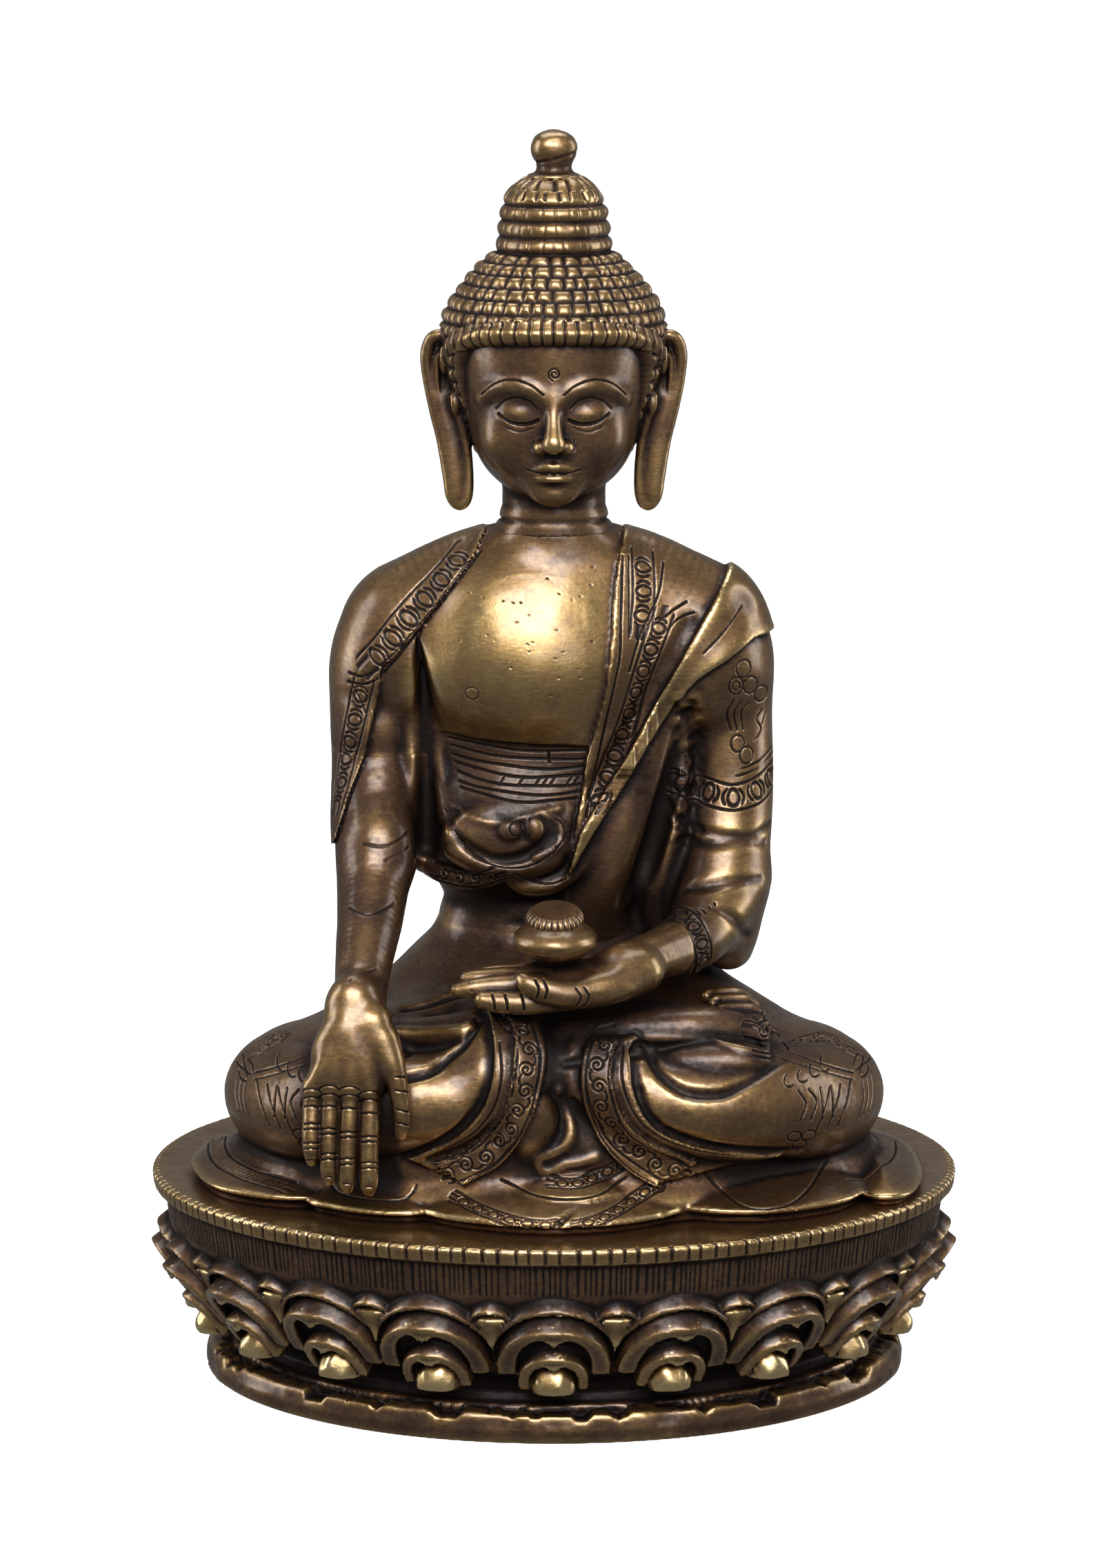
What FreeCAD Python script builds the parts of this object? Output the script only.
"""Seated buddha statue on an oval lotus pedestal: brass castings, their pins and the packing inside.

The frame is in millimetres: origin at the centre of the foot's underside, +Z up, the figure faces -Y,
and its right hand is on the -X side.
"""

import FreeCAD
import Part
import math
import os

V = FreeCAD.Vector

# ---------------------------------------------------------------- driving dimensions
HEIGHT = 220.0  # foot to the top of the finial
OVAL = 0.70  # depth over width of every oval of the pedestal
WALL = 3.0  # thickness of the hollow castings
FIT_GAP = 0.10  # radial room for solder round each spigot

RIM_HALF_WIDTH = 72.0
RIM_HEIGHT = 2.8
DECK_TOP = 37.0
BAND_HALF_WIDTH = 70.0
FOOT_HALF_WIDTH = 62.4
FOOT_HEIGHT = 5.0
WAIST_HALF_WIDTH = 55.8

PETALS = 20
PETAL_Z = 20.0
PETAL_RADIUS = 9.6
PETAL_PROUD = 2.2
PEARL_Z = 13.6
PEARL_RADIUS = 3.4
BUD_Z = 25.5
BUD_RADIUS = 4.0

PLATE_HALF_WIDTH = 58.0
PLATE_BOTTOM = 1.0
PLATE_THICKNESS = 1.0
BURRS = 24

BODY_JOINT_Z = 80.0  # where the torso casting sits on the lap casting
ARM_JOINT_Z = 112.0  # where the right arm leaves the robe
NECK_JOINT_Z = 151.0  # where the head sits on the torso
TENON_SIZE = (9.0, 3.0, 9.0)  # width, thickness and length below the lap casting
TENON_PLACES = [(-24.0, 12.0), (24.0, 12.0), (-20.0, -14.0), (20.0, -14.0)]
PIN_RADIUS = 0.9

BOWL_CENTRE = (0.2, -30.0)
BOWL_FOOT_Z = 81.6
BOWL_RADIUS = 7.1
BOWL_MOUTH_Z = 89.6
LID_RADIUS = 4.7
LID_TOP_Z = 93.2
LID_FLUTES = 26
LID_SPIGOT_RADIUS = 2.9
LID_SPIGOT_LENGTH = 1.6

STICK_BOTTOM_Z = 2.0
STICK_TOP_Z = 168.0
STICK_RADIUS = 3.2

OUT = "parts"
BIG = 400.0


# ---------------------------------------------------------------- helpers
def section(centre, half_u, half_v, u=V(1, 0, 0), v=V(0, 1, 0), points=12):
    """A closed smooth oval round centre, half_u wide along u and half_v wide along v."""
    ring = []
    for i in range(points):
        turn = 2 * math.pi * i / points
        ring.append(centre + u * (half_u * math.cos(turn)) + v * (half_v * math.sin(turn)))
    curve = Part.BSplineCurve()
    curve.interpolate(Points=ring, PeriodicFlag=True)
    return Part.Wire([curve.toShape()])


def stack(levels):
    """A solid through level ovals, each (z, centre x, centre y, half width, half depth)."""
    wires = [section(V(x, y, z), a, b) for z, x, y, a, b in levels]
    return Part.makeLoft(wires, True, False)


def limb(points, flat=V(1, 0, 0)):
    """A tube through points, each (x, y, z, half size along flat, half size square to it)."""
    places = [V(*p[:3]) for p in points]
    wires = []
    for i, place in enumerate(places):
        ahead = places[min(i + 1, len(places) - 1)] - places[max(i - 1, 0)]
        ahead.normalize()
        v = ahead.cross(flat)
        v.normalize()
        u = v.cross(ahead)
        wires.append(section(place, points[i][3], points[i][4], u, v))
    return Part.makeLoft(wires, True, False)


def turned(profile):
    """A solid of revolution about Z from (radius, z) corners."""
    corners = [V(r, 0, z) for r, z in profile]
    face = Part.Face(Part.makePolygon(corners + corners[:1]))
    return face.revolve(V(0, 0, 0), V(0, 0, 1), 360)


def peg(start, end, radius):
    """A round pin from start to end."""
    way = V(*end) - V(*start)
    return Part.makeCylinder(radius, way.Length, V(*start), way)


def above(z):
    return Part.makeBox(BIG, BIG, BIG, V(-BIG / 2, -BIG / 2, z))


def below(z):
    return Part.makeBox(BIG, BIG, BIG, V(-BIG / 2, -BIG / 2, z - BIG))


def joined(shapes):
    """The solids fused into one."""
    whole = shapes[0].multiFuse(shapes[1:]) if len(shapes) > 1 else shapes[0]
    return whole.removeSplitter()


def ovalled(shape):
    """A round shape squeezed front to back into the pedestal's oval."""
    squeeze = FreeCAD.Matrix()
    squeeze.scale(1.0, OVAL, 1.0)
    return shape.transformGeometry(squeeze)


def oval_plate(half_width, bottom, thickness):
    edge = Part.Ellipse(V(0, 0, bottom), half_width, half_width * OVAL).toShape()
    return Part.Face(Part.Wire([edge])).extrude(V(0, 0, thickness))


# ---------------------------------------------------------------- pedestal
def pedestal_outside():
    """The pedestal's round outside before it is squeezed: foot flange, waist, bell, band and rim."""
    overrun = 2.0  # cut off flat afterwards, which leaves a true plane under the foot
    bell = [(WAIST_HALF_WIDTH, 8.5), (58.6, 12.5), (63.6, 17.5), (67.6, 23.0), (BAND_HALF_WIDTH - 0.6, 28.0)]
    curve = Part.BSplineCurve()
    curve.interpolate([V(r, 0, z) for r, z in bell])
    rim_bottom = DECK_TOP - RIM_HEIGHT
    lower = [
        (0, -overrun),
        (FOOT_HALF_WIDTH, -overrun),
        (FOOT_HALF_WIDTH + 0.4, 2.0),
        (FOOT_HALF_WIDTH - 0.8, FOOT_HEIGHT),
        (WAIST_HALF_WIDTH + 1.4, FOOT_HEIGHT + 1.0),
        bell[0],
    ]
    upper = [
        bell[-1],
        (BAND_HALF_WIDTH, rim_bottom),
        (RIM_HALF_WIDTH, rim_bottom + 0.4),
        (RIM_HALF_WIDTH, DECK_TOP - 0.5),
        (RIM_HALF_WIDTH - 0.6, DECK_TOP),
        (0, DECK_TOP),
        (0, -overrun),
    ]
    edges = Part.makePolygon([V(r, 0, z) for r, z in lower]).Edges
    edges.append(curve.toShape())
    edges += Part.makePolygon([V(r, 0, z) for r, z in upper]).Edges
    face = Part.Face(Part.Wire(edges))
    return face.revolve(V(0, 0, 0), V(0, 0, 1), 360)


def petal_bosses():
    """Each petal's dome, the pearl at its tip and the bud between it and the next."""
    dome_ring = 65.6 - PETAL_RADIUS + PETAL_PROUD
    bosses = []
    for i in range(PETALS):
        turn = 2 * math.pi * i / PETALS - math.pi / 2
        out = V(math.cos(turn), math.sin(turn), 0)
        half = turn + math.pi / PETALS
        between = V(math.cos(half), math.sin(half), 0)
        bosses.append(Part.makeSphere(PETAL_RADIUS, out * dome_ring + V(0, 0, PETAL_Z)))
        bosses.append(Part.makeSphere(PEARL_RADIUS, out * 61.8 + V(0, 0, PEARL_Z)))
        bosses.append(Part.makeSphere(BUD_RADIUS, between * 66.4 + V(0, 0, BUD_Z)))
    return bosses


def pedestal_cavity():
    return turned(
        [
            (0, -2.0),
            (FOOT_HALF_WIDTH - WALL, -2.0),
            (FOOT_HALF_WIDTH - WALL, PLATE_BOTTOM + PLATE_THICKNESS),
            (WAIST_HALF_WIDTH - WALL, PLATE_BOTTOM + PLATE_THICKNESS),
            (WAIST_HALF_WIDTH - WALL, 9.0),
            (59.8, 17.5),
            (BAND_HALF_WIDTH - WALL - 1.6, 28.0),
            (BAND_HALF_WIDTH - WALL - 1.0, DECK_TOP - WALL),
            (0, DECK_TOP - WALL),
        ]
    )


def burrs():
    """The chiselled burrs under the plate's edge that hold it in the foot."""
    made = []
    for i in range(BURRS):
        burr = Part.makeBox(2.6, 2.4, PLATE_BOTTOM - 0.4, V(PLATE_HALF_WIDTH - 0.8, -1.2, 0.4))
        burr.rotate(V(0, 0, 0), V(0, 0, 1), 360.0 * (i + 0.5) / BURRS)
        made.append(burr)
    return made


def lotus_pedestal():
    body = pedestal_outside().multiFuse(petal_bosses())
    body = body.cut(pedestal_cavity()).multiFuse(burrs())
    body = ovalled(body)
    openings = [below(0.0), Part.makeCylinder(9.0, 10.0, V(0, 4, DECK_TOP - 6))]
    width, thick, _ = TENON_SIZE
    for x, y in TENON_PLACES:
        slot = Part.makeBox(
            width + 2 * FIT_GAP,
            thick + 2 * FIT_GAP,
            10.0,
            V(x - width / 2 - FIT_GAP, y - thick / 2 - FIT_GAP, DECK_TOP - 6),
        )
        openings.append(slot)
    return body.cut(openings)


def base_plate():
    return oval_plate(PLATE_HALF_WIDTH, PLATE_BOTTOM, PLATE_THICKNESS)


# ---------------------------------------------------------------- lap casting
LAP_LEVELS = [
    (DECK_TOP + 1.6, 0, -4, 54, 29),
    (42, 0, -4, 57, 31),
    (51, 0, -4, 58.3, 31.5),
    (58, 0, -2, 54, 28.5),
    (64, 0, 1, 44, 25),
    (69, 0, 5, 33, 20),
    (74, 0, 7.5, 26, 16.5),
    (BODY_JOINT_Z, 0, 8, 20.5, 13.5),
]
COLLAR = (0, 7.4, 15.5, 9.4)  # centre x, y, half width and half depth of the waist collar
COLLAR_HEIGHT = 5.0


def shrunk(levels, wall):
    return [(z, x, y, a - wall, b - wall) for z, x, y, a, b in levels]


def shins_and_foot():
    """The two crossed shins in front and the upturned foot on the far thigh."""
    pieces = []
    for side in (-1, 1):
        pieces.append(
            limb(
                [
                    (side * 50, -12, 53, 7.5, 8.5),
                    (side * 40, -22, 54, 9.5, 10.0),
                    (side * 24, -28, 53, 9.5, 9.5),
                    (side * 8, -31, 49, 7.5, 7.5),
                    (side * 2, -31, 46, 4.0, 4.5),
                ],
                flat=V(0, 1, 0),
            )
        )
    foot = limb(
        [
            (-6, -25, 61, 5.0, 4.0),
            (8, -26, 64, 5.5, 4.6),
            (22, -24, 66.5, 5.5, 4.6),
            (33, -22, 68, 4.6, 3.6),
            (36, -21, 68, 2.6, 2.0),
        ],
        flat=V(0, 1, 0),
    )
    return pieces + [foot]


def hem_fan():
    """The robe's hem spread on the deck round the legs."""
    return stack(
        [
            (DECK_TOP, 0, -5, 63, 39.5),
            (DECK_TOP + 1.6, 0, -5, 62, 38.5),
            (DECK_TOP + 2.6, 0, -5, 58, 35),
        ]
    )


def lap_tenons():
    width, thick, length = TENON_SIZE
    return [
        Part.makeBox(width, thick, length + 1.0, V(x - width / 2, y - thick / 2, DECK_TOP - length))
        for x, y in TENON_PLACES
    ]


def wedge_line(x, y):
    """Ends of the pin through one tenon, just under the deck."""
    z = DECK_TOP - WALL - PIN_RADIUS - 0.1
    return (x, y - 4.5, z), (x, y + 4.5, z)


def waist_pins():
    """Four pins through the torso's wall and the lap's collar."""
    x0, y0, a, b = COLLAR
    pins = []
    for degrees in (40, 140, 220, 320):
        turn = math.radians(degrees)
        inner = (x0 + (a - 3) * math.cos(turn), y0 + (b - 3) * math.sin(turn), BODY_JOINT_Z + 2.5)
        outer = (x0 + (a + 2.6) * math.cos(turn), y0 + (b + 2.6) * math.sin(turn), BODY_JOINT_Z + 2.5)
        pins.append(peg(inner, outer, PIN_RADIUS))
    return pins


def lap_and_robe():
    solid = joined([stack(LAP_LEVELS), hem_fan()] + shins_and_foot() + lap_tenons())
    x, y, a, b = COLLAR
    collar = stack([(BODY_JOINT_Z - 3, x, y, a, b), (BODY_JOINT_Z + COLLAR_HEIGHT, x, y, a, b)])
    solid = solid.fuse(collar)
    cavity = stack(shrunk(LAP_LEVELS[:-1], WALL + 0.6))
    bore_wall = 2.2
    bore = stack(
        [
            (LAP_LEVELS[-2][0] - 1, x, y, a - bore_wall, b - bore_wall),
            (BODY_JOINT_Z + COLLAR_HEIGHT + 1, x, y, a - bore_wall, b - bore_wall),
        ]
    )
    floor_hole = Part.makeCylinder(9.0, 8.0, V(0, 4, DECK_TOP - 2))
    holes = [peg(*wedge_line(px, py), PIN_RADIUS) for px, py in TENON_PLACES]
    return solid.cut([cavity, bore, floor_hole] + holes + waist_pins())


def tenon_pins():
    return Part.makeCompound([peg(*wedge_line(x, y), PIN_RADIUS) for x, y in TENON_PLACES])


# ---------------------------------------------------------------- torso casting
TORSO_LEVELS = [
    (BODY_JOINT_Z, 0, 8, 20, 13),
    (87, 0, 7, 21, 13.4),
    (97, 0, 6, 22, 13.6),
    (107, 0, 6, 23, 13.8),
    (118, 0, 5.5, 25.5, 15),
    (127, 0, 5, 30, 15.6),
    (134, 0, 5, 34.5, 14.8),
    (140, 0, 5, 31, 13.2),
    (145, 0, 5, 25.5, 11.8),
    (148.5, 0, 4.6, 18, 10.4),
    (NECK_JOINT_Z, 0, 4, 10.4, 9.4),
]
RIGHT_ARM = [
    (-26.0, 6.0, 138.0, 4.6, 5.6),
    (-29.2, 6.0, 133.6, 7.6, 8.4),
    (-31.0, 6.0, 127.0, 8.0, 9.0),
    (-31.3, 5.0, 119.0, 7.9, 8.8),
    (-31.4, 2.5, 110.0, 7.6, 8.2),
    (-31.6, -4.0, 99.0, 7.1, 7.4),
    (-31.8, -14.0, 88.5, 6.2, 6.0),
    (-32.4, -24.0, 80.0, 5.0, 4.6),
    (-33.0, -31.0, 74.4, 4.1, 3.6),
]
LEFT_SLEEVE = [
    (26.0, 6.0, 138.0, 4.6, 5.6),
    (29.2, 6.0, 133.6, 7.6, 8.6),
    (30.6, 6.0, 127.0, 8.2, 9.2),
    (31.0, 6.0, 117.0, 8.0, 9.2),
    (31.0, 5.0, 104.0, 8.4, 9.4),
    (29.4, 0.0, 91.0, 8.8, 9.6),
    (25.0, -9.0, 83.6, 7.2, 7.6),
    (20.5, -16.5, 81.6, 5.6, 5.4),
]
CUFF = V(20.5, -16.5, 81.6)
WRIST_WAY = V(-14.0, -11.0, -2.0).normalize()
HAND_SPIGOT_RADIUS = 2.6
ARM_TENON_RADIUS = 4.0
ARM_TENON_LENGTH = 8.0
NECK_SPIGOT_RADIUS = 6.0
NECK_SPIGOT_LENGTH = 6.0


def arm_axis():
    """Point and direction of the right arm where it is joined, towards the shoulder."""
    low, high = V(*RIGHT_ARM[4][:3]), V(*RIGHT_ARM[3][:3])
    way = (high - low).normalize()
    return low + way * ((ARM_JOINT_Z - low.z) / way.z), way


def arm_tenon(extra=0.0):
    place, way = arm_axis()
    start = place - way * 2.0
    return Part.makeCylinder(ARM_TENON_RADIUS + extra, ARM_TENON_LENGTH + 2.0 + extra, start, way)


def arm_rivet_shape():
    place, _ = arm_axis()
    centre = place + V(0, 0, 4.0)
    return Part.makeCylinder(PIN_RADIUS, 14.0, centre + V(0, -7.0, 0), V(0, 1, 0))


def hand_spigot(extra=0.0):
    return Part.makeCylinder(
        HAND_SPIGOT_RADIUS + extra, 6.0 + extra, CUFF + WRIST_WAY * 0.2, WRIST_WAY * -1
    )


def hand_rivet_shape():
    centre = CUFF - WRIST_WAY * 3.0
    return Part.makeCylinder(PIN_RADIUS, 8.4, centre - V(0, 0, 4.2), V(0, 0, 1))


def neck_pin_shape():
    return peg((0, 8.0, NECK_JOINT_Z - 3.0), (0, 14.2, NECK_JOINT_Z - 3.0), PIN_RADIUS)


def neck_spigot(extra=0.0):
    place = V(0, 4, NECK_JOINT_Z - NECK_SPIGOT_LENGTH - extra)
    return Part.makeCylinder(NECK_SPIGOT_RADIUS + extra, NECK_SPIGOT_LENGTH + extra + 1.0, place)


def torso_and_sleeve():
    upper_arm = limb(RIGHT_ARM).common(above(ARM_JOINT_Z))
    solid = joined([stack(TORSO_LEVELS), upper_arm, limb(LEFT_SLEEVE)])
    cavity_levels = shrunk(TORSO_LEVELS[:-1], WALL)
    cavity_levels[0] = (BODY_JOINT_Z - 1.0, 0, 8, 20 - WALL, 13 - WALL)
    cavity = stack(cavity_levels[:-1])
    throat = Part.makeCylinder(3.8, 20.0, V(0, 4, NECK_JOINT_Z - 14))
    collar = stack(
        [
            (BODY_JOINT_Z - 1, COLLAR[0], COLLAR[1], COLLAR[2] + FIT_GAP, COLLAR[3] + FIT_GAP),
            (BODY_JOINT_Z + COLLAR_HEIGHT + 0.2, COLLAR[0], COLLAR[1], COLLAR[2] + FIT_GAP, COLLAR[3] + FIT_GAP),
        ]
    )
    cuts = [
        cavity,
        throat,
        collar,
        neck_spigot(FIT_GAP),
        arm_tenon(FIT_GAP),
        hand_spigot(FIT_GAP),
        arm_rivet_shape(),
        hand_rivet_shape(),
        neck_pin_shape(),
    ]
    return solid.cut(cuts + waist_pins())


# ---------------------------------------------------------------- arms and hands
def finger(knuckle, bend, tip, radius, flat=V(1, 0, 0)):
    """One finger through three places, a little thinner and rounded at its tip."""
    tip_v, bend_v = V(*tip), V(*bend)
    way = (tip_v - bend_v).normalize()
    end = tip_v + way * (radius * 0.5)
    return limb(
        [
            (*knuckle, radius, radius),
            (*bend, radius, radius),
            (*tip, radius * 0.85, radius * 0.85),
            (end.x, end.y, end.z, radius * 0.35, radius * 0.35),
        ],
        flat,
    )


def right_arm():
    """The bare forearm that hangs over the shin, its hand and the tenon into the robe."""
    forearm = limb(RIGHT_ARM).common(below(ARM_JOINT_Z))
    palm = limb(
        [
            (-33.0, -30.0, 75.2, 4.1, 3.7),
            (-33.0, -35.0, 71.0, 4.6, 3.6),
            (-32.6, -38.4, 66.0, 6.4, 3.0),
            (-32.8, -40.4, 60.0, 7.0, 2.4),
            (-33.0, -41.0, 57.0, 6.4, 2.0),
        ]
    )
    fingers = [
        finger((x, -40.6, 59.0), (x + 0.1, -41.2, 53.0), (x + 0.2, -40.6, tip_z), 1.55)
        for x, tip_z in ((-37.9, 48.2), (-34.6, 44.6), (-31.4, 43.4), (-28.2, 43.6))
    ]
    thumb = finger((-27.4, -37.4, 66.0), (-26.4, -37.8, 59.0), (-26.6, -38.6, 54.2), 1.6)
    solid = joined([forearm, palm, thumb] + fingers)
    return solid.fuse(arm_tenon()).cut(arm_rivet_shape())


def left_palm():
    return limb(
        [
            (20.3, -16.7, 81.4, 4.6, 4.6),
            (16.0, -20.4, 80.4, 4.4, 4.2),
            (10.0, -25.6, 78.6, 5.6, 3.2),
            (3.0, -29.0, 77.6, 6.6, 2.4),
            (-3.0, -29.6, 77.4, 6.2, 2.0),
        ],
        flat=V(0, 1, 0),
    )


def left_hand(torso):
    """The hand that lies in the lap under the bowl, and the spigot into the cuff."""
    fingers = [
        finger((-1.0, y, 77.3), (-7.0, y + 0.2, 77.0), (tip_x, y + 0.8, 76.9), 1.5, flat=V(0, 1, 0))
        for y, tip_x in ((-34.2, -10.4), (-31.2, -13.6), (-28.2, -15.4), (-25.4, -14.4))
    ]
    thumb = finger((8.0, -31.0, 78.6), (2.6, -34.0, 79.2), (-3.6, -34.6, 80.6), 1.5, flat=V(0, 1, 0))
    solid = joined([left_palm(), thumb] + fingers)
    beyond_cuff = Part.makeCylinder(12.0, 12.0, CUFF, WRIST_WAY * -1)
    solid = solid.cut(beyond_cuff).fuse(hand_spigot())
    return solid.cut([hand_rivet_shape(), alms_bowl(), torso])


# ---------------------------------------------------------------- alms bowl
def at_bowl(shape):
    shape.translate(V(*BOWL_CENTRE, 0))
    return shape


def bowl_peg():
    return Part.makeCylinder(1.15, 3.4, V(*BOWL_CENTRE, BOWL_FOOT_Z - 3.2))


def alms_bowl():
    """The bowl, cast solid, with a shallow socket in its mouth and a peg into the palm."""
    z = BOWL_FOOT_Z
    bowl = turned(
        [
            (0, z - 1.2),
            (3.4, z - 1.2),
            (3.0, z),
            (5.2, z + 1.0),
            (6.7, z + 2.4),
            (BOWL_RADIUS, z + 3.9),
            (6.7, z + 5.3),
            (5.4, z + 6.8),
            (4.2, BOWL_MOUTH_Z - 0.6),
            (4.2, BOWL_MOUTH_Z),
            (0, BOWL_MOUTH_Z),
        ]
    )
    socket = Part.makeCylinder(LID_SPIGOT_RADIUS + FIT_GAP, LID_SPIGOT_LENGTH + 0.2)
    socket.translate(V(0, 0, BOWL_MOUTH_Z - LID_SPIGOT_LENGTH - 0.1))
    return at_bowl(bowl.cut(socket)).fuse(bowl_peg())


def bowl_lid():
    """The fluted lid, with a spigot into the bowl's mouth."""
    z = BOWL_MOUTH_Z
    lid = turned(
        [
            (0, z - LID_SPIGOT_LENGTH),
            (LID_SPIGOT_RADIUS, z - LID_SPIGOT_LENGTH),
            (LID_SPIGOT_RADIUS, z),
            (3.9, z),
            (LID_RADIUS, z + 1.1),
            (LID_RADIUS, z + 1.9),
            (4.1, z + 2.8),
            (2.6, LID_TOP_Z - 0.2),
            (0, LID_TOP_Z),
        ]
    )
    flutes = []
    for i in range(LID_FLUTES):
        turn = 2 * math.pi * i / LID_FLUTES
        place = V((LID_RADIUS + 0.08) * math.cos(turn), (LID_RADIUS + 0.08) * math.sin(turn), z - 0.5)
        flutes.append(Part.makeCylinder(0.26, 5.0, place))
    return at_bowl(lid.cut(flutes))


# ---------------------------------------------------------------- head
HEAD_Y = 1.0
FINIAL_SEAT_Z = 211.6


def ear(side):
    """One long ear: the upper shell and the stretched lobe."""
    return limb(
        [
            (side * 19.0, HEAD_Y + 1.6, 186.4, 1.0, 1.6),
            (side * 20.4, HEAD_Y + 1.2, 184.0, 1.7, 3.4),
            (side * 20.6, HEAD_Y + 0.6, 178.0, 1.8, 3.6),
            (side * 18.8, HEAD_Y - 0.6, 170.0, 1.6, 2.8),
            (side * 17.4, HEAD_Y - 1.6, 161.0, 1.6, 2.4),
            (side * 16.4, HEAD_Y - 2.0, 155.6, 1.2, 1.8),
            (side * 16.2, HEAD_Y - 2.0, 154.6, 0.5, 0.7),
        ]
    )


HEAD_LEVELS = [
    (NECK_JOINT_Z, 0, 4, 10.2, 9.2),
    (154, 0, 3, 8.9, 8.6),
    (157, 0, 1, 9.2, 11.4),
    (160.5, 0, -0.6, 11.4, 14.4),
    (166, 0, -0.8, 13.8, 16.8),
    (173, 0, -0.3, 15.6, 17.8),
    (179.5, 0, 0.6, 16.8, 18.4),
    (184, 0, 1.6, 19.2, 18.9),
    (189, 0, 2, 18.9, 18.4),
    (193, 0, 2, 16.8, 16.6),
    (196.5, 0, 2, 13.4, 13.4),
    (199.5, 0, 2, 10.6, 10.6),
    (203, 0, 2, 9.3, 9.3),
    (207.5, 0, 2, 8.2, 8.2),
    (210.6, 0, 2, 5.8, 5.8),
    (FINIAL_SEAT_Z, 0, 2, 3.6, 3.6),
]


def head():
    solid = joined([stack(HEAD_LEVELS), ear(-1), ear(1)]).fuse(neck_spigot())
    hollow = stack(shrunk(HEAD_LEVELS[4:10], WALL + 1.0))
    throat = Part.makeCylinder(3.8, 40.0, V(0, 4, NECK_JOINT_Z - NECK_SPIGOT_LENGTH - 1))
    finial_hole = Part.makeCylinder(1.5, 4.2, V(0, HEAD_Y + 1, FINIAL_SEAT_Z - 4.0))
    return solid.cut([hollow, throat, finial_hole, neck_pin_shape()])


def ushnisha_finial():
    """The jewel knob on the crown, with its peg."""
    seat = FINIAL_SEAT_Z
    knob = turned(
        [
            (0, seat - 3.8),
            (1.5 - FIT_GAP / 2, seat - 3.8),
            (1.5 - FIT_GAP / 2, seat),
            (3.2, seat),
            (3.0, seat + 1.8),
            (3.5, seat + 3.4),
            (3.95, seat + 5.0),
            (3.6, seat + 6.7),
            (2.6, HEIGHT - 0.6),
            (1.2, HEIGHT),
            (0, HEIGHT),
        ]
    )
    knob.translate(V(0, HEAD_Y + 1, 0))
    return knob


# ---------------------------------------------------------------- inside
STICK_Y = 4.0


def life_stick():
    """The tapered wooden spine that stands on the plate and reaches into the head."""
    top = 2.3
    return Part.makeCone(STICK_RADIUS, top, STICK_TOP_Z - STICK_BOTTOM_Z, V(0, STICK_Y, STICK_BOTTOM_Z))


PEDESTAL_ROLLS = [(-42, 0), (-30, -14), (-30, 14), (42, 0), (30, -14), (30, 14)]
PEDESTAL_ROLL = (5.5, 24.0)  # radius and length
BODY_ROLLS = [(-9.5, 8.0), (9.5, 8.0)]
BODY_ROLL = (3.4, 34.0)
BODY_ROLL_Z = 88.0
CORE_RADIUS = 0.9


def paper_rolls(places, radius, length, z):
    """Rolled paper strips standing side by side, each round an open core."""
    rolls = []
    for x, y in places:
        roll = Part.makeCylinder(radius, length, V(x, y, z))
        rolls.append(roll.cut(Part.makeCylinder(CORE_RADIUS, length, V(x, y, z))))
    return Part.makeCompound(rolls)


def roll_threads():
    """A ring of thread round each roll, a third of the way from either end."""
    thread = 0.3
    rings = []
    sets = [(PEDESTAL_ROLLS, PEDESTAL_ROLL, STICK_BOTTOM_Z), (BODY_ROLLS, BODY_ROLL, BODY_ROLL_Z)]
    for places, (radius, length), z in sets:
        for x, y in places:
            for share in (1 / 3, 2 / 3):
                place = V(x, y, z + share * length)
                ring = Part.makeCylinder(radius + 2 * thread, 2 * thread, place)
                rings.append(ring.cut(Part.makeCylinder(radius, 2 * thread, place)))
    return Part.makeCompound(rings)


# ---------------------------------------------------------------- export
def main():
    os.makedirs(OUT, exist_ok=True)
    torso = torso_and_sleeve()
    nodes = {
        "lotus_pedestal": lotus_pedestal(),
        "base_plate": base_plate(),
        "lap_and_robe": lap_and_robe(),
        "tenon_pins": tenon_pins(),
        "torso_and_sleeve": torso,
        "waist_pins": Part.makeCompound(waist_pins()),
        "right_arm": right_arm(),
        "right_arm_rivet": arm_rivet_shape(),
        "left_hand": left_hand(torso),
        "left_hand_rivet": hand_rivet_shape(),
        "alms_bowl": alms_bowl(),
        "bowl_lid": bowl_lid(),
        "head": head(),
        "neck_pin": neck_pin_shape(),
        "ushnisha_finial": ushnisha_finial(),
        "life_stick": life_stick(),
        "pedestal_paper_rolls": paper_rolls(PEDESTAL_ROLLS, *PEDESTAL_ROLL, STICK_BOTTOM_Z),
        "body_paper_rolls": paper_rolls(BODY_ROLLS, *BODY_ROLL, BODY_ROLL_Z),
        "roll_threads": roll_threads(),
    }
    for name, shape in nodes.items():
        print(f"{name}: {len(shape.Solids)} solid(s), {shape.Volume / 1000:.2f} cm3, valid {shape.isValid()}")
        shape.exportStep(f"{OUT}/{name}.step")


main()
